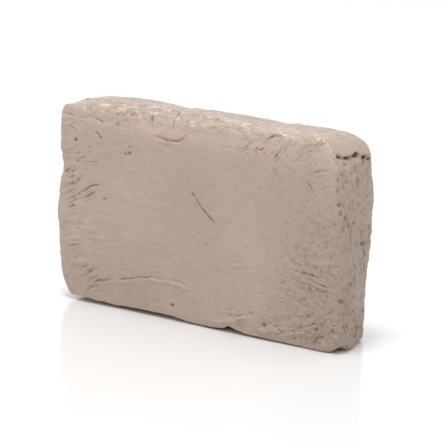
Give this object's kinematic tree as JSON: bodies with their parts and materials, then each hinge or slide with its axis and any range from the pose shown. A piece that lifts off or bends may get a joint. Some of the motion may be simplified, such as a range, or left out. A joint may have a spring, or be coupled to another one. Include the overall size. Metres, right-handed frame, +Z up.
{
  "type": "clay bar",
  "caption": "Hand-pressed rectangular bar of soft automotive detailing clay with rounded edges, pressed-on folds and creases, standing on its long narrow side.",
  "frame": {"origin": "middle of the underside, the narrow face that the bar stands on", "axes": "+X along the bar, +Y through it from the front face to the back face, +Z up"},
  "size_m": [0.1026, 0.021, 0.0598],
  "materials": {
    "clay": "satin"
  },
  "bodies": {
    "root": {"front_slab": "clay", "back_slab": "clay", "top_fold": "clay", "end_strip": "clay", "lower_fold": "clay", "corner_lump": "clay", "thumb_pat": "clay", "crumbs": "clay"}
  },
  "joints": []
}
